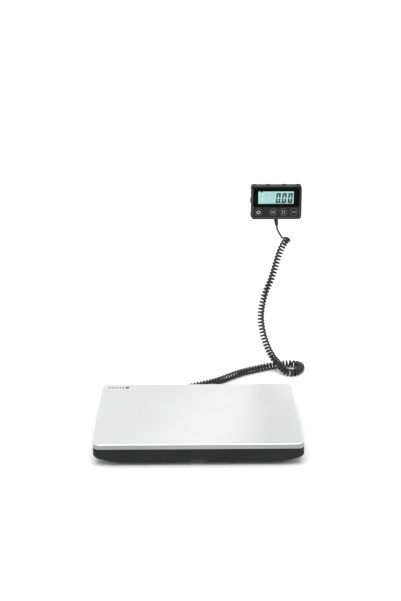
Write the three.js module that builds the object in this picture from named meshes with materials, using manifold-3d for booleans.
// Platform shipping scale: a steel-topped platform on four load-cell feet, a remote LCD display
// hung on a wall bracket, and the curly cord between them.
// Millimetres. +Z is up, +X is to the user's right, +Y points away from the user to the wall.
// The origin is the centre of the weighing face.
import * as THREE from "three";
import { mergeVertices } from "three/addons/utils/BufferGeometryUtils.js";
import Module from "manifold-3d";

const wasm = await Module();
wasm.setup();

// ---- Driving dimensions -------------------------------------------------------------------

const GAP = 0.3; // clearance between neighbouring pieces
const TRAY = { width: 354, depth: 274, corner: 11, sheet: 1, skirt: 8.6, bend: 2.4 };
const BODY = { width: 354.6, depth: 274.6, corner: 11.5, wall: 3, floor: 2.6, top: -8.9, bottom: -32.5 };
const BELLY = { flatHalf: 140, rise: 9.6, blend: 8 }; // the underside turns up towards both ends
const FLOOR_Z = -38; // the plane that the feet stand on
const FOOT = {
  x: 128, y: 98, cup: 15.8, cupHeight: 6.8, hole: 16.6, pad: 14, padHeight: 3.4, neck: 5, travel: 0.4,
};
const CELL = { size: 34, thickness: 3, bottom: -24.2, collar: 40 };
const DECK = { inset: 3.4, top: -2.6, thickness: 1.8, ribHeight: 10, rib: 2, rim: 6 };
const POST = { x: 90, y: 105, radius: 5, screw: 1.5, head: 3.2, headHeight: 1.5 };
const BOARD = { x: -40, y: 70, width: 52, depth: 24, thickness: 1.6, bottom: -27.2 };
const CABLE = 3.9; // diameter of the cord's cable
const COIL = 14.8; // outer diameter of its curly part
const EXIT = { x: -66, z: -21 }; // where the cord leaves the rear wall of the base
const GROMMET = { neck: 4.3, flange: 6, flangeThickness: 2, ribs: 5 };
const BASE_SLEEVE = { start: BODY.depth / 2 + GAP, length: 20.5, root: 5, tip: 3 };
const CLAMP = { y: BODY.depth / 2 - 26, halfWidth: 11, halfDepth: 3, roof: 2.2, screwOffset: 8 };
const FINGER = { halfWidth: 20, height: 3.6, depth: 13 }; // the recess under the front edge

const DISPLAY = { x: 162.9, y: 402, z: 284.8 }; // centre of the display's front plane
const FACE = { width: 101.8, height: 67.8, corner: 6, wall: 2, panel: 1.2, split: 12, depth: 25.5 };
const WINDOW = { z: 10.9, width: 93.3, height: 38.6, corner: 3, thickness: 1.3, front: 1 };
const LCD = { width: 80, height: 32, thickness: 2.2, viewWidth: 76, viewHeight: 28 };
const KEYS = { z: -19, cap: 6.4, hole: 6.9, flange: 7.6, thickness: 1, front: 0.4, travel: 0.8 };
const KEY_PLACES = { key_power: -36.2, key_mode: -6.3, key_hold: 14.4, key_zero: 34.6 };
const CASE_SCREW = { x: 45, z: 27, boss: 3, shank: 1.1, head: 2.3, under: 20 };
const BAY = { halfWidth: 26, low: -26.5, high: 6.5, wall: 1.2, front: 12.7 }; // battery bay
const CELL_AAA = { radius: 5.2, length: 44.5, pitch: 10.9 };
const HOOK = { low: 22, high: 29, neck: 5, head: 9, front: 20.8, step: 23.2, lift: 12 };
const BRACKET = { width: 46, height: 34, z: 12, front: 26.3, back: 29.3, screwX: 16, screw: 1.8 };
const GUARD = { size: 16, corner: 6, x: 43.5, z: 26.8 }; // the rear housing's corner guards
const GRIP = { proud: 1.3, height: 12, z: 2, topX: 16.5, topWidth: 10, topProud: 1 };
const SOCKET = { y: 18, z: 17, radius: 4.2, bore: 2.9, pin: 1.05 };
const LED = { x: -20.5, radius: 1.2 };
const SLEEVE = { root: 4.5, tip: 3.6, length: 14.4, ribs: 4, neck: 3, flange: 4.6, leanDegrees: -7 };
const BOARD_THICKNESS = 1.6;

const CORNERS = [
  { name: "front_left", sideX: -1, sideY: -1 },
  { name: "front_right", sideX: 1, sideY: -1 },
  { name: "back_left", sideX: -1, sideY: 1 },
  { name: "back_right", sideX: 1, sideY: 1 },
];

const LOOKS = {
  steel: { color: 0xd9dadb, roughness: 0.38, metalness: 0.9 },
  zinc: { color: 0xa9adb0, roughness: 0.45, metalness: 0.85 },
  casing: { color: 0x2a2b2c, roughness: 0.6, metalness: 0 },
  housing: { color: 0x3a3b3c, roughness: 0.55, metalness: 0 },
  rubber: { color: 0x161616, roughness: 0.85, metalness: 0 },
  cord: { color: 0x121213, roughness: 0.5, metalness: 0 },
  board: { color: 0x1d5a33, roughness: 0.5, metalness: 0 },
  window: { color: 0x050506, roughness: 0.08, metalness: 0 },
  lcd: { color: 0xbdebe3, roughness: 0.25, metalness: 0 },
  diffuser: { color: 0xf2f4f2, roughness: 0.6, metalness: 0 },
  foam: { color: 0x3c3c3c, roughness: 0.95, metalness: 0 },
  battery: { color: 0x6c7a86, roughness: 0.4, metalness: 0.3 },
};

// ---- Solid helpers ------------------------------------------------------------------------

function solidOf(geometry) {
  const bare = geometry.clone();
  bare.deleteAttribute("normal");
  bare.deleteAttribute("uv");
  const merged = mergeVertices(bare, 1e-4);
  return new wasm.Manifold(new wasm.Mesh({
    numProp: 3,
    vertProperties: new Float32Array(merged.attributes.position.array),
    triVerts: new Uint32Array(merged.index.array),
  }));
}

function geometryOf(solid) {
  const mesh = solid.getMesh();
  const geometry = new THREE.BufferGeometry();
  geometry.setAttribute("position", new THREE.BufferAttribute(mesh.vertProperties, 3));
  geometry.setIndex(new THREE.BufferAttribute(mesh.triVerts, 1));
  geometry.computeVertexNormals();
  return geometry;
}

function join(first, others) {
  return geometryOf(others.reduce((solid, other) => solid.add(solidOf(other)), solidOf(first)));
}

function cut(first, tools) {
  return geometryOf(tools.reduce((solid, tool) => solid.subtract(solidOf(tool)), solidOf(first)));
}

function common(first, second) {
  return geometryOf(solidOf(first).intersect(solidOf(second)));
}

function roundedRectangle(width, height, radius, x = 0, y = 0) {
  const shape = new THREE.Shape();
  const right = x + width / 2 - radius;
  const left = x - width / 2 + radius;
  const top = y + height / 2 - radius;
  const bottom = y - height / 2 + radius;
  shape.absarc(right, bottom, radius, -Math.PI / 2, 0);
  shape.absarc(right, top, radius, 0, Math.PI / 2);
  shape.absarc(left, top, radius, Math.PI / 2, Math.PI);
  shape.absarc(left, bottom, radius, Math.PI, 1.5 * Math.PI);
  shape.closePath();
  return shape;
}

// A level slab of the shape between two heights; its edges are rounded where bevel is given.
function slab(shape, bottom, top, bevel = 0) {
  const geometry = new THREE.ExtrudeGeometry(shape, {
    depth: top - bottom - 2 * bevel,
    curveSegments: 3,
    bevelEnabled: bevel > 0,
    bevelThickness: bevel,
    bevelSize: bevel,
    bevelOffset: -bevel,
    bevelSegments: 2,
  });
  return geometry.translate(0, 0, bottom + bevel);
}

// An upright slab: the shape is drawn in X and Z and runs back along +Y from front to back.
function panel(shape, front, back, bevel = 0) {
  return slab(shape, -back, -front, bevel).rotateX(Math.PI / 2);
}

function block(low, high) {
  const size = high.map((value, axis) => value - low[axis]);
  const middle = high.map((value, axis) => (value + low[axis]) / 2);
  return new THREE.BoxGeometry(...size).translate(...middle);
}

// A round bar along Z, Y or X, at the given place across its axis.
function rodZ(radius, bottom, top, x = 0, y = 0, segments = 16) {
  const bar = new THREE.CylinderGeometry(radius, radius, top - bottom, segments).rotateX(Math.PI / 2);
  return bar.translate(x, y, (top + bottom) / 2);
}

function rodY(radius, front, back, x = 0, z = 0, segments = 16) {
  const bar = new THREE.CylinderGeometry(radius, radius, back - front, segments);
  return bar.translate(x, (front + back) / 2, z);
}

function rodX(radius, left, right, y = 0, z = 0, segments = 14) {
  const bar = new THREE.CylinderGeometry(radius, radius, right - left, segments).rotateZ(Math.PI / 2);
  return bar.translate((left + right) / 2, y, z);
}

// A turned piece about Z from [radius, height] pairs that start and end on the axis.
function turned(profile, segments = 16) {
  const points = profile.map(([radius, height]) => new THREE.Vector2(radius, height));
  return new THREE.LatheGeometry(points, segments).rotateX(Math.PI / 2);
}

function tube(route, radius, sides, steps) {
  const corners = Array.from({ length: sides }, (_, index) => {
    const angle = (2 * Math.PI * index) / sides;
    return new THREE.Vector2(radius * Math.cos(angle), radius * Math.sin(angle));
  });
  const path = new THREE.CatmullRomCurve3(route.map((point) => new THREE.Vector3(...point)));
  return new THREE.ExtrudeGeometry(new THREE.Shape(corners), { steps, extrudePath: path });
}

// The turned outline of a ribbed strain relief: its outer sleeve tapers from root to tip.
function sleeveProfile(rootRadius, tipRadius, length, ribs) {
  const profile = [];
  const step = length / ribs;
  for (let rib = 0; rib < ribs; rib += 1) {
    const radius = rootRadius + ((tipRadius - rootRadius) * rib) / (ribs - 1);
    profile.push([radius, rib * step], [radius, (rib + 0.62) * step]);
    if (rib < ribs - 1) {
      const groove = radius * 0.82;
      profile.push([groove, (rib + 0.66) * step], [groove, (rib + 0.96) * step]);
    }
  }
  profile.push([tipRadius, length]);
  return profile;
}

function piece(parent, name, geometry, look) {
  const mesh = new THREE.Mesh(geometry, new THREE.MeshStandardMaterial(LOOKS[look]));
  mesh.name = name;
  parent.add(mesh);
  return mesh;
}

// ---- Platform -----------------------------------------------------------------------------

// The front outline of the base, raised by lift: flat below the middle, turned up at both ends.
function bellyOutline(lift) {
  const half = BODY.width / 2 + 5;
  const end = BODY.bottom + BELLY.rise + lift;
  const flat = BODY.bottom + lift;
  const slope = BELLY.rise / (BODY.width / 2 - BELLY.flatHalf);
  const blendRise = slope * BELLY.blend;
  const outline = new THREE.Shape();
  outline.moveTo(-half, 10);
  outline.lineTo(-half, end);
  outline.lineTo(-BODY.width / 2, end);
  outline.lineTo(-BELLY.flatHalf - BELLY.blend, flat + blendRise);
  outline.quadraticCurveTo(-BELLY.flatHalf, flat, -BELLY.flatHalf + BELLY.blend, flat);
  outline.lineTo(BELLY.flatHalf - BELLY.blend, flat);
  outline.quadraticCurveTo(BELLY.flatHalf, flat, BELLY.flatHalf + BELLY.blend, flat + blendRise);
  outline.lineTo(BODY.width / 2, end);
  outline.lineTo(half, end);
  outline.lineTo(half, 10);
  outline.closePath();
  return outline;
}

function baseShell() {
  const reach = BODY.depth / 2 + 5;
  const plan = roundedRectangle(BODY.width, BODY.depth, BODY.corner);
  const inside = roundedRectangle(
    BODY.width - 2 * BODY.wall, BODY.depth - 2 * BODY.wall, BODY.corner - BODY.wall);
  const outer = common(slab(plan, BODY.bottom, BODY.top), panel(bellyOutline(0), -reach, reach));
  const hollow = common(slab(inside, BODY.bottom, 0), panel(bellyOutline(BODY.floor), -reach, reach));
  const floor = BODY.bottom + BODY.floor;
  const sunk = floor - 0.5; // ribs and bosses start inside the floor
  const below = BODY.bottom - 5; // bores start well outside it
  const postTop = DECK.top - DECK.thickness - DECK.ribHeight - GAP;
  const sinkTop = BODY.bottom + GAP + POST.headHeight + GAP;
  const added = [];
  const removed = [];

  for (const { sideX, sideY } of CORNERS) {
    const x = sideX * FOOT.x;
    const y = sideY * FOOT.y;
    const half = CELL.collar / 2;
    added.push(block([x - half, y - half, sunk], [x + half, y + half, CELL.bottom - GAP]));
    removed.push(rodZ(FOOT.hole, below, 0, x, y, 20));
    const post = [sideX * POST.x, sideY * POST.y];
    added.push(rodZ(POST.radius, sunk, postTop, ...post));
    removed.push(rodZ(POST.screw + 0.4, below, 0, ...post, 14));
    removed.push(rodZ(POST.head + 0.4, below, sinkTop, ...post));
  }
  for (const side of [-1, 1]) {
    const x = BOARD.x + side * (BOARD.width / 2 - 5);
    added.push(rodZ(3, sunk, BOARD.bottom - GAP, x, BOARD.y, 14));
  }

  // A saddle for the cord inside the rear wall, with the bore of its clamp's screw.
  const saddleHalf = CLAMP.halfWidth + 1;
  added.push(block(
    [EXIT.x - saddleHalf, CLAMP.y - CLAMP.halfDepth - 1, sunk],
    [EXIT.x + saddleHalf, CLAMP.y + CLAMP.halfDepth + 1, EXIT.z - CABLE / 2 - GAP]));
  removed.push(rodZ(1.5, floor, 0, EXIT.x + CLAMP.screwOffset, CLAMP.y, 12));

  // The finger recess under the front edge, backed by a thicker pad inside.
  const front = -BODY.depth / 2;
  const { halfWidth, height } = FINGER;
  added.push(block(
    [-halfWidth - 6, front + 1, sunk], [halfWidth + 6, front + FINGER.depth + 4, floor + height]));
  const recess = new THREE.Shape();
  recess.moveTo(-halfWidth - 1, BODY.bottom - 2);
  recess.lineTo(-halfWidth, BODY.bottom);
  recess.quadraticCurveTo(-0.65 * halfWidth, BODY.bottom + height, 0, BODY.bottom + height);
  recess.quadraticCurveTo(0.65 * halfWidth, BODY.bottom + height, halfWidth, BODY.bottom);
  recess.lineTo(halfWidth + 1, BODY.bottom - 2);
  recess.closePath();
  removed.push(panel(recess, front - 5, front + FINGER.depth));

  removed.push(rodY(GROMMET.neck + 0.4, BODY.depth / 2 - 6, BODY.depth / 2 + 2, EXIT.x, EXIT.z));
  return cut(join(cut(outer, [hollow]), added), removed);
}

function platformTray() {
  const plan = roundedRectangle(TRAY.width, TRAY.depth, TRAY.corner);
  const under = roundedRectangle(
    TRAY.width - 2 * TRAY.sheet, TRAY.depth - 2 * TRAY.sheet, TRAY.corner - TRAY.sheet);
  const below = block([-TRAY.width, -TRAY.depth, -60], [TRAY.width, TRAY.depth, -TRAY.skirt]);
  return cut(slab(plan, -4 * TRAY.skirt, 0, TRAY.bend), [slab(under, -40, -TRAY.sheet), below]);
}

// A plate whose underside is pocketed, which leaves a rim and a grid of ribs.
function deckPlate() {
  const width = TRAY.width - 2 * DECK.inset;
  const depth = TRAY.depth - 2 * DECK.inset;
  const under = DECK.top - DECK.thickness;
  const low = under - DECK.ribHeight;
  const columns = 4;
  const rows = 3;
  const spanX = (width - 2 * DECK.rim + DECK.rib) / columns;
  const spanY = (depth - 2 * DECK.rim + DECK.rib) / rows;
  const pockets = [];
  for (let column = 0; column < columns; column += 1) {
    for (let row = 0; row < rows; row += 1) {
      const x = -width / 2 + DECK.rim + column * spanX;
      const y = -depth / 2 + DECK.rim + row * spanY;
      pockets.push(block([x, y, low - 1], [x + spanX - DECK.rib, y + spanY - DECK.rib, under]));
    }
  }
  const posts = CORNERS.map(({ sideX, sideY }) => [sideX * POST.x, sideY * POST.y]);
  const bosses = posts.map((post) => rodZ(POST.radius - 0.5, low, under + 0.2, ...post));
  const bores = posts.map((post) => rodZ(POST.screw + GAP, low - 1, under - 1, ...post, 12));
  const plate = slab(roundedRectangle(width, depth, 9), low, DECK.top);
  return cut(join(cut(plate, pockets), bosses), bores);
}

function deckScrew() {
  const low = BODY.bottom + GAP;
  const tip = DECK.top - DECK.thickness - 3;
  const shoulder = low + POST.headHeight;
  return turned([
    [0, low], [POST.head - 0.5, low], [POST.head, low + 0.4], [POST.head, shoulder],
    [POST.screw, shoulder], [POST.screw, tip - 2], [0, tip],
  ], 12);
}

// A half-bridge cell: a steel square with a tongue cut free on three sides, and its gauge.
function loadCell() {
  const half = CELL.size / 2;
  const top = CELL.bottom + CELL.thickness;
  const plate = slab(roundedRectangle(CELL.size, CELL.size, 3), CELL.bottom, top);
  const gauge = block([-4.5, 3, top - 0.3], [4.5, 10, top + 1.2]);
  const slots = [
    block([-9.5, -11, CELL.bottom - 1], [-7, half - 6, top + 1]),
    block([7, -11, CELL.bottom - 1], [9.5, half - 6, top + 1]),
    block([-9.5, -13.5, CELL.bottom - 1], [9.5, -11, top + 1]),
  ];
  return cut(join(plate, [gauge]), slots);
}

function junctionBoard() {
  const { x, y, bottom } = BOARD;
  const top = bottom + BOARD.thickness;
  const laminate = slab(roundedRectangle(BOARD.width, BOARD.depth, 1, x, y), bottom, top);
  return join(laminate, [
    block([x - 20, y - 5, top - 0.2], [x - 8, y + 5, top + 2.4]),
    block([x - 3, y - 4, top - 0.2], [x + 6, y + 4, top + 1.2]),
    block([x + 12, y - 7, top - 0.2], [x + 18, y + 7, top + 3.6]),
  ]);
}

// Each lead drops from its cell to the floor of the base and runs to the junction board.
function cellLeads(parent) {
  const radius = 1.1;
  const rest = BODY.bottom + BODY.floor + 2 * radius;
  const end = BOARD.bottom + BOARD.thickness / 2;
  const startX = FOOT.x - CELL.size / 2 - GAP;
  const reach = BOARD.width / 2 + 1.2;
  const left = BOARD.x - reach;
  const right = BOARD.x + reach;
  const start = (sideX, sideY) => [
    [sideX * startX, sideY * FOOT.y, CELL.bottom + CELL.thickness / 2],
    [sideX * (startX - 7), sideY * FOOT.y, CELL.bottom + 0.8],
    [sideX * (startX - 15), sideY * (FOOT.y - 4), rest],
  ];
  const routes = {
    front_left: [...start(-1, -1), [-88, -60, rest], [-82, 0, rest], [-76, 55, rest], [left, 66, end]],
    front_right: [...start(1, -1), [62, -62, rest], [22, 6, rest], [-4, 55, rest], [right, 66, end]],
    back_left: [...start(-1, 1), [-84, 80, rest], [left, 74, end]],
    back_right: [...start(1, 1), [58, 80, rest], [12, 78, rest], [right, 74, end]],
  };
  for (const [corner, route] of Object.entries(routes)) {
    piece(parent, `cell_lead_${corner}`, tube(route, radius, 6, 3 * route.length), "cord");
  }
}

function cableClamp() {
  const { y, halfWidth, halfDepth } = CLAMP;
  const low = EXIT.z - CABLE / 2;
  const high = EXIT.z + CABLE / 2 + CLAMP.roof;
  const hole = CABLE / 2 + 0.6;
  const bar = block(
    [EXIT.x - halfWidth, y - halfDepth, low], [EXIT.x + halfWidth, y + halfDepth, high]);
  return cut(bar, [
    rodY(hole, y - 5, y + 5, EXIT.x, EXIT.z, 14),
    block([EXIT.x - hole, y - 5, low - 1], [EXIT.x + hole, y + 5, EXIT.z]),
    rodZ(1.5, low - 1, high + 1, EXIT.x + CLAMP.screwOffset, y, 12),
  ]);
}

function clampScrew() {
  const under = EXIT.z + CABLE / 2 + CLAMP.roof + GAP;
  const top = under + 1.8;
  const profile = [
    [0, under - 12], [1.2, under - 10.5], [1.2, under], [2.6, under], [2.6, top - 0.6], [1.8, top], [0, top],
  ];
  return turned(profile, 12).translate(EXIT.x + CLAMP.screwOffset, CLAMP.y, 0);
}

// The grommet is gripped by the rear wall: an inner flange, a neck and the ribbed sleeve.
function baseStrainRelief() {
  const wall = -BODY.wall - GAP;
  const inner = wall - GROMMET.flangeThickness - 0.2;
  const sleeve = sleeveProfile(BASE_SLEEVE.root, BASE_SLEEVE.tip, BASE_SLEEVE.length, GROMMET.ribs);
  const profile = [
    [0, inner], [GROMMET.flange, inner], [GROMMET.flange, wall - 0.2], [GROMMET.neck, wall - 0.2],
    [GROMMET.neck, GAP], ...sleeve.map(([radius, along]) => [radius, along + GAP]),
    [0, BASE_SLEEVE.length + GAP],
  ];
  return turned(profile, 12).rotateX(-Math.PI / 2).translate(EXIT.x, BODY.depth / 2, EXIT.z);
}

function innerCordLead() {
  const start = BODY.depth / 2 - BODY.wall - GAP - 0.2 - GROMMET.flangeThickness - GAP;
  const end = BOARD.y + BOARD.depth / 2 + 1.2;
  const low = BOARD.bottom + BOARD.thickness;
  const route = [
    [EXIT.x, start, EXIT.z], [EXIT.x, start - 10, EXIT.z], [EXIT.x, start - 24, EXIT.z],
    [EXIT.x + 4, start - 34, EXIT.z - 2], [EXIT.x + 10, end + 6, low], [EXIT.x + 12, end, low],
  ];
  return tube(route, CABLE / 2, 8, 12);
}

function foot(parent, { name, sideX, sideY }) {
  const group = new THREE.Group();
  group.position.set(sideX * FOOT.x, sideY * FOOT.y, 0);
  parent.add(group);
  const padTop = FLOOR_Z + FOOT.padHeight;
  const cupLow = padTop + GAP;
  const cupTop = padTop + FOOT.cupHeight;
  const neckTop = CELL.bottom - GAP - FOOT.travel;
  const pad = turned([
    [0, FLOOR_Z], [FOOT.pad - 0.8, FLOOR_Z], [FOOT.pad, FLOOR_Z + 0.8], [FOOT.pad, padTop], [0, padTop],
  ], 18);
  const cup = turned([
    [0, cupLow], [FOOT.cup - 1, cupLow], [FOOT.cup, cupLow + 1], [FOOT.cup, cupTop - 0.8],
    [FOOT.cup - 0.8, cupTop], [FOOT.neck, cupTop], [FOOT.neck, neckTop], [0, neckTop],
  ], 18);
  piece(group, `foot_cup_${name}`, cup, "casing");
  piece(group, `foot_pad_${name}`, pad, "rubber");
}

function platform() {
  const group = new THREE.Group();
  piece(group, "base_shell", baseShell(), "casing");
  piece(group, "deck_plate", deckPlate(), "casing");
  piece(group, "platform_tray", platformTray(), "steel");
  for (const [name, side] of [["left", -1], ["right", 1]]) {
    const strip = roundedRectangle(24, 230, 2, side * 120, 0);
    piece(group, `tray_pad_${name}`, slab(strip, DECK.top + GAP, -TRAY.sheet - GAP), "foam");
  }
  for (const corner of CORNERS) {
    const cell = piece(group, `load_cell_${corner.name}`, loadCell(), "zinc");
    cell.position.set(corner.sideX * FOOT.x, corner.sideY * FOOT.y, 0);
    const screw = piece(group, `deck_screw_${corner.name}`, deckScrew(), "zinc");
    screw.position.set(corner.sideX * POST.x, corner.sideY * POST.y, 0);
    foot(group, corner);
  }
  piece(group, "junction_board", junctionBoard(), "board");
  cellLeads(group);
  piece(group, "cable_clamp", cableClamp(), "casing");
  piece(group, "clamp_screw", clampScrew(), "zinc");
  piece(group, "base_strain_relief", baseStrainRelief(), "rubber");
  piece(group, "cord_inner_lead", innerCordLead(), "cord");
  return group;
}

// ---- Cord ---------------------------------------------------------------------------------

// The cord's route from the rear of the base to the display: a short lead, the curly part along
// the floor, once round in a loose loop and up the wall, and the display's own lead.
const BASE_LEAD_ROUTE = [
  [-66, 158.8, -21], [-66, 164.5, -21.5], [-65.6, 171, -24.2], [-63, 178.4, -29],
  [-57, 184, -33.6], [-50, 187, -35.8], [-43, 188, -36.05], [-35.8, 188.4, -36.05],
];
const COIL_ROUTE = [
  [-35, 188.5, -30.6], [-19, 194, -30.6], [-5, 202, -30.6], [17, 214.5, -30.6], [37, 227, -30.6],
  [53, 240.5, -30.6], [68, 255.5, -30.6], [83, 270, -30.6], [99, 282, -30.6], [116, 292, -30.6],
  [133, 302, -30.6], [151, 311, -30.6], [168, 317.5, -30.6], [183, 322, -30.6], [197, 322, -30.6],
  [208, 314, -30.6], [210, 299, -30.6], [203, 282, -30.6], [191, 272, -30.6], [179, 278, -30.3],
  [170.6, 288.5, -27], [163.4, 301, -20.7], [156, 311.5, -15.1], [149.6, 322.5, -7.2],
  [144.1, 332.8, 2.1], [139.7, 342.9, 12.9], [135.6, 353.4, 27.1], [133.1, 362.6, 41.2],
  [132.5, 372, 56.4], [135, 382, 73.6], [139.8, 390.6, 90.2], [145.7, 396.6, 106.4],
  [153.5, 400.1, 122.9], [159.1, 402.3, 140.1], [163.3, 403.6, 154.9], [167.8, 404.6, 170.3],
  [172.5, 404.9, 184.4], [176.3, 404.2, 193.4], [180.3, 402.2, 201.5], [183.8, 399.7, 208.5],
  [186.6, 397.6, 213.2],
];
const DISPLAY_LEAD_ROUTE = [
  [165, 414.2, 233.6], [166.3, 413.9, 227.2], [169.1, 412.9, 221.3], [172.6, 410, 216],
  [175.8, 405.2, 212.2],
];

function cord() {
  const group = new THREE.Group();
  piece(group, "cord_lead_base", tube(BASE_LEAD_ROUTE, CABLE / 2, 8, 14), "cord");
  piece(group, "cord_coil", tube(COIL_ROUTE, COIL / 2, 8, 78), "cord");
  piece(group, "cord_lead_display", tube(DISPLAY_LEAD_ROUTE, CABLE / 2, 8, 8), "cord");
  return group;
}

// ---- Display ------------------------------------------------------------------------------
// In the display's own frame the front plane is y = 0 and +Y points back to the wall.

const FACE_INSIDE = roundedRectangle(
  FACE.width - 2 * FACE.wall, FACE.height - 2 * FACE.wall, FACE.corner - FACE.wall);
const CASE_CORNERS = CORNERS.map(({ name, sideX, sideY }) => ({
  name: name.replace("front", "lower").replace("back", "upper"),
  x: sideX * CASE_SCREW.x,
  z: sideY * CASE_SCREW.z,
}));

// The lead's sleeve is gripped between the two housings, so each has half of its hole.
function sleeveHole() {
  const low = -FACE.height / 2;
  return rodZ(SLEEVE.neck + 0.5, low - 1, low + 4, 0, FACE.split + GAP / 2, 16);
}

function frontHousing() {
  const outline = roundedRectangle(FACE.width, FACE.height, FACE.corner);
  const recess = roundedRectangle(FACE.width - 5, FACE.height - 5, FACE.corner - 2.5);
  const wallBack = FACE.panel + FACE.wall;
  const shell = cut(panel(outline, 0, FACE.split), [
    panel(recess, -1, FACE.panel),
    panel(FACE_INSIDE, wallBack, FACE.split + 1),
  ]);
  const bosses = CASE_CORNERS.map(({ x, z }) => rodY(
    CASE_SCREW.boss, wallBack - 0.5, FACE.split, x, z, 14));
  const pocket = roundedRectangle(
    WINDOW.width + 2 * GAP, WINDOW.height + 2 * GAP, WINDOW.corner + GAP, 0, WINDOW.z);
  const view = roundedRectangle(LCD.viewWidth, LCD.viewHeight, 1, 0, WINDOW.z);
  const bores = CASE_CORNERS.map(({ x, z }) => rodY(
    CASE_SCREW.shank + GAP, 5, FACE.split + 1, x, z, 12));
  const keyHoles = Object.values(KEY_PLACES).map((x) => rodY(KEYS.hole, -1, wallBack + 1, x, KEYS.z, 18));
  return cut(join(shell, bosses), [
    panel(pocket, -1, WINDOW.front + WINDOW.thickness + GAP),
    panel(view, 0, wallBack + 1),
    rodY(LED.radius, -1, wallBack + 1, LED.x, KEYS.z, 10),
    sleeveHole(),
    ...keyHoles,
    ...bores,
  ]);
}

function rearHousing() {
  const front = FACE.split + GAP;
  const back = FACE.depth;
  const wallFront = back - FACE.wall;
  const outline = roundedRectangle(FACE.width, FACE.height, FACE.corner);
  const lugs = [
    ...CASE_CORNERS.map(({ x, z }) => roundedRectangle(
      GUARD.size, GUARD.size, GUARD.corner, Math.sign(x) * GUARD.x, Math.sign(z) * GUARD.z)),
    roundedRectangle(FACE.width + 2 * GRIP.proud, GRIP.height, 3, 0, GRIP.z),
    ...[-1, 1].map((side) => roundedRectangle(
      GRIP.topWidth, 6, 2, side * GRIP.topX, FACE.height / 2 + GRIP.topProud - 3)),
  ].map((shape) => panel(shape, front + 1, back - 2));
  const body = join(panel(outline, front, back), lugs);
  const shell = cut(body, [panel(FACE_INSIDE, front - 1, wallFront)]);
  const bosses = CASE_CORNERS.map(({ x, z }) => rodY(CASE_SCREW.boss + 0.4, front, back, x, z, 16));
  const bay = block(
    [-BAY.halfWidth - BAY.wall, BAY.front - 0.8, BAY.low - BAY.wall],
    [BAY.halfWidth + BAY.wall, back, BAY.high + BAY.wall]);
  const door = doorSize(GAP);
  const mouth = { low: HOOK.low - HOOK.lift, high: HOOK.high - HOOK.lift };
  return cut(join(shell, [...bosses, bay]), [
    block([-BAY.halfWidth, BAY.front, BAY.low], [BAY.halfWidth, back + 1, BAY.high]),
    block([-door.half, door.front, -FACE.height / 2 - 1], [door.half, back + 1, door.high]),
    // The hanging slot: a wide mouth that the hook enters, and a narrow slot above it.
    block(
      [-HOOK.head - 0.6, wallFront - 1, mouth.low - 0.6],
      [HOOK.head + 0.6, back + 1, mouth.high + 0.6]),
    block([-HOOK.neck - 0.4, wallFront - 1, mouth.low], [HOOK.neck + 0.4, back + 1, HOOK.high + 0.5]),
    rodX(SOCKET.radius + 0.4, -FACE.width / 2 - 1, -FACE.width / 2 + 3, SOCKET.y, SOCKET.z),
    sleeveHole(),
    ...CASE_CORNERS.map(({ x, z }) => rodY(CASE_SCREW.shank + 0.4, front - 1, back + 1, x, z, 12)),
    ...CASE_CORNERS.map(({ x, z }) => rodY(CASE_SCREW.head + 0.4, CASE_SCREW.under, back + 1, x, z, 16)),
  ]);
}

function doorSize(clearance) {
  return {
    half: BAY.halfWidth + 2 + clearance,
    high: BAY.high + 2 + clearance,
    front: FACE.depth - 1.3 - clearance,
  };
}

function batteryDoor() {
  const { half, high, front } = doorSize(0);
  const plate = block([-half, front, -FACE.height / 2], [half, FACE.depth, high]);
  const middle = -14; // height of the middle grip groove
  const grooves = [-2, 0, 2].map((offset) => block(
    [-8, FACE.depth - 0.5, middle + offset - 0.4], [8, FACE.depth + 1, middle + offset + 0.4]));
  return cut(plate, grooves);
}

function key(x) {
  const flange = FACE.panel + FACE.wall + GAP;
  const profile = [
    [0, KEYS.front], [KEYS.cap - 0.9, KEYS.front], [KEYS.cap, KEYS.front + 0.7], [KEYS.cap, flange],
    [KEYS.flange, flange], [KEYS.flange, flange + KEYS.thickness], [0, flange + KEYS.thickness],
  ];
  return turned(profile, 16).rotateX(-Math.PI / 2).translate(x, 0, KEYS.z);
}

function keypadMembrane() {
  const front = FACE.panel + FACE.wall + GAP + KEYS.thickness + KEYS.travel + GAP;
  const sheet = panel(roundedRectangle(82, 17.5, 1, 0, KEYS.z), front, front + 1);
  const pills = Object.values(KEY_PLACES).map((x) => rodY(2.2, front + 0.8, front + 2.8, x, KEYS.z, 12));
  return join(sheet, pills);
}

const BACKLIGHT_THICKNESS = 3;
const BACKLIGHT_FRONT = FACE.panel + FACE.wall + GAP + LCD.thickness + GAP;
const DISPLAY_BOARD_FRONT = BACKLIGHT_FRONT + BACKLIGHT_THICKNESS + GAP;

function displayBoard() {
  const front = DISPLAY_BOARD_FRONT;
  const laminate = panel(roundedRectangle(80, 57.5, 1), front, front + BOARD_THICKNESS);
  const inside = front + BOARD_THICKNESS - 0.1;
  const chips = [[-10, 2, -8, 4], [14, 30, 8, 14], [-32, -29, -2, 12]];
  return join(laminate, chips.map(([left, right, low, high]) => block(
    [left, inside, low], [right, inside + 0.7, high])));
}

const BATTERY_Y = BAY.front + 0.35 + CELL_AAA.radius;

function battery(row) {
  const { radius } = CELL_AAA;
  const half = CELL_AAA.length / 2;
  const side = row === 0 ? -1 : 1; // neighbouring cells face opposite ways
  const shoulder = half - 1.2;
  const profile = [
    [0, -half], [radius - 0.6, -half], [radius, -half + 0.6], [radius, shoulder - 0.8],
    [radius - 0.6, shoulder], [1.9, shoulder], [1.9, half], [0, half],
  ];
  const z = (BAY.low + BAY.high) / 2 + row * CELL_AAA.pitch;
  return turned(profile, 12).rotateY((side * Math.PI) / 2).translate(0, BATTERY_Y, z);
}

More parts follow.
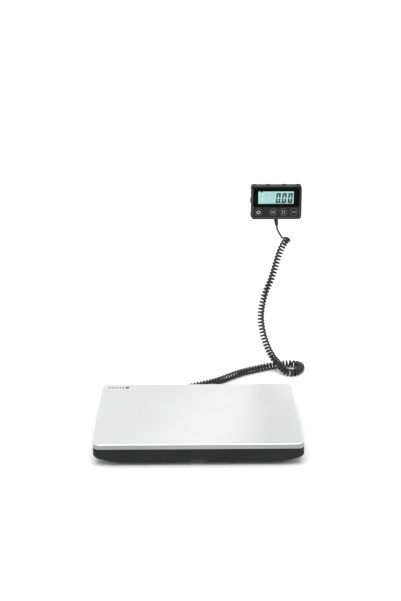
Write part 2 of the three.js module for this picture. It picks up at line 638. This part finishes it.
function contactStrip(side) {
  const middle = (BAY.low + BAY.high) / 2;
  const reach = CELL_AAA.pitch + 4.9;
  const outer = BAY.halfWidth - GAP;
  const [low, high] = side < 0 ? [-outer, -outer + 0.8] : [outer - 0.8, outer];
  const strip = block([low, BATTERY_Y - 4.2, middle - reach], [high, BATTERY_Y + 4.2, middle + reach]);
  const tip = CELL_AAA.length / 2 + 0.4;
  const inner = outer - 0.4;
  const bumps = [-1, 0, 1].map((row) => {
    const ends = side < 0 ? [-inner, -tip] : [tip, inner];
    return rodX(1.6, ...ends, BATTERY_Y, middle + row * CELL_AAA.pitch, 10);
  });
  return join(strip, bumps);
}

function powerSocket() {
  const { y, z } = SOCKET;
  const outer = -FACE.width / 2 + 0.3;
  const barrel = rodX(SOCKET.radius, outer, outer + 4, y, z);
  const housing = block([outer + 2.6, y - 4.4, z - 4.4], [outer + 12.5, y + 4.4, z + 4.4]);
  const bore = rodX(SOCKET.bore, outer - 1, outer + 9, y, z);
  const pin = rodX(SOCKET.pin, outer + 0.8, outer + 10, y, z, 10);
  return join(cut(join(barrel, [housing]), [bore]), [pin]);
}

function caseScrew(x, z) {
  const { shank, head } = CASE_SCREW;
  const under = CASE_SCREW.under + GAP;
  const top = CASE_SCREW.under + 2;
  const profile = [
    [0, 6.5], [shank, 8], [shank, under], [head, under], [head, top - 0.4], [head - 0.6, top], [0, top],
  ];
  return turned(profile, 10).rotateX(-Math.PI / 2).translate(x, 0, z);
}

// A flange inside the housings, a neck in their hole and the ribbed sleeve, leaning to the right.
function displayStrainRelief() {
  const start = 1; // from the edge of the housing to the first rib
  const sleeve = sleeveProfile(SLEEVE.root, SLEEVE.tip, SLEEVE.length, SLEEVE.ribs);
  const inside = -FACE.wall - 0.9;
  const profile = [
    [0, inside - 1.5], [SLEEVE.flange, inside - 1.5], [SLEEVE.flange, inside], [SLEEVE.neck, inside],
    [SLEEVE.neck, start], ...sleeve.map(([radius, along]) => [radius, along + start]),
    [0, SLEEVE.length + start],
  ];
  return turned(profile, 12)
    .rotateX(Math.PI)
    .rotateY(THREE.MathUtils.degToRad(SLEEVE.leanDegrees))
    .translate(0, FACE.split + GAP / 2, -FACE.height / 2);
}

function wallBracket() {
  const { low, high } = HOOK;
  const { front, back, z, screwX } = BRACKET;
  const plate = panel(roundedRectangle(BRACKET.width, BRACKET.height, 4, 0, z), front, back);
  const neck = block([-HOOK.neck, HOOK.step - 0.2, low], [HOOK.neck, front + 0.2, high]);
  const head = block([-HOOK.head, HOOK.front, low], [HOOK.head, HOOK.step, high]);
  const bore = BRACKET.screw + 0.4;
  const holes = [-1, 1].map((side) => rodY(bore, front - 1, back + 1, side * screwX, z, 14));
  const sinks = [-1, 1].map((side) => turned([[0, -1], [bore + 3, -1], [bore, 2], [0, 2]], 14)
    .rotateX(-Math.PI / 2)
    .translate(side * screwX, front, z));
  return cut(join(plate, [neck, head]), [...holes, ...sinks]);
}

function bracketScrew(side) {
  const shank = BRACKET.screw;
  const screw = turned([[0, 0.2], [shank + 1.9, 0.2], [shank, 2.1], [shank, 14], [0, 17]], 12);
  return screw.rotateX(-Math.PI / 2).translate(side * BRACKET.screwX, BRACKET.front, BRACKET.z);
}

function display() {
  const group = new THREE.Group();
  group.position.set(DISPLAY.x, DISPLAY.y, DISPLAY.z);
  const lcdFront = FACE.panel + FACE.wall + GAP;
  const lcdBack = lcdFront + LCD.thickness;
  const lightBack = BACKLIGHT_FRONT + BACKLIGHT_THICKNESS;
  const glass = roundedRectangle(WINDOW.width, WINDOW.height, WINDOW.corner, 0, WINDOW.z);
  const lcd = roundedRectangle(LCD.width, LCD.height, 0.6, 0, WINDOW.z);
  piece(group, "display_front_housing", frontHousing(), "housing");
  piece(group, "display_rear_housing", rearHousing(), "housing");
  piece(group, "display_window", panel(glass, WINDOW.front, WINDOW.front + WINDOW.thickness), "window");
  piece(group, "lcd_panel", panel(lcd, lcdFront, lcdBack), "lcd");
  piece(group, "backlight", panel(lcd, BACKLIGHT_FRONT, lightBack), "diffuser");
  piece(group, "display_board", displayBoard(), "board");
  piece(group, "keypad_membrane", keypadMembrane(), "rubber");
  for (const [name, x] of Object.entries(KEY_PLACES)) piece(group, name, key(x), "housing");
  for (const [name, row] of [["lower", -1], ["middle", 0], ["upper", 1]]) {
    piece(group, `battery_${name}`, battery(row), "battery");
  }
  piece(group, "contact_strip_left", contactStrip(-1), "zinc");
  piece(group, "contact_strip_right", contactStrip(1), "zinc");
  piece(group, "battery_door", batteryDoor(), "housing");
  piece(group, "power_socket", powerSocket(), "rubber");
  for (const { name, x, z } of CASE_CORNERS) piece(group, `case_screw_${name}`, caseScrew(x, z), "zinc");
  piece(group, "display_strain_relief", displayStrainRelief(), "rubber");
  piece(group, "wall_bracket", wallBracket(), "housing");
  piece(group, "bracket_screw_left", bracketScrew(-1), "zinc");
  piece(group, "bracket_screw_right", bracketScrew(1), "zinc");
  return group;
}

const scale = new THREE.Group();
scale.add(platform(), cord(), display());
export default scale;
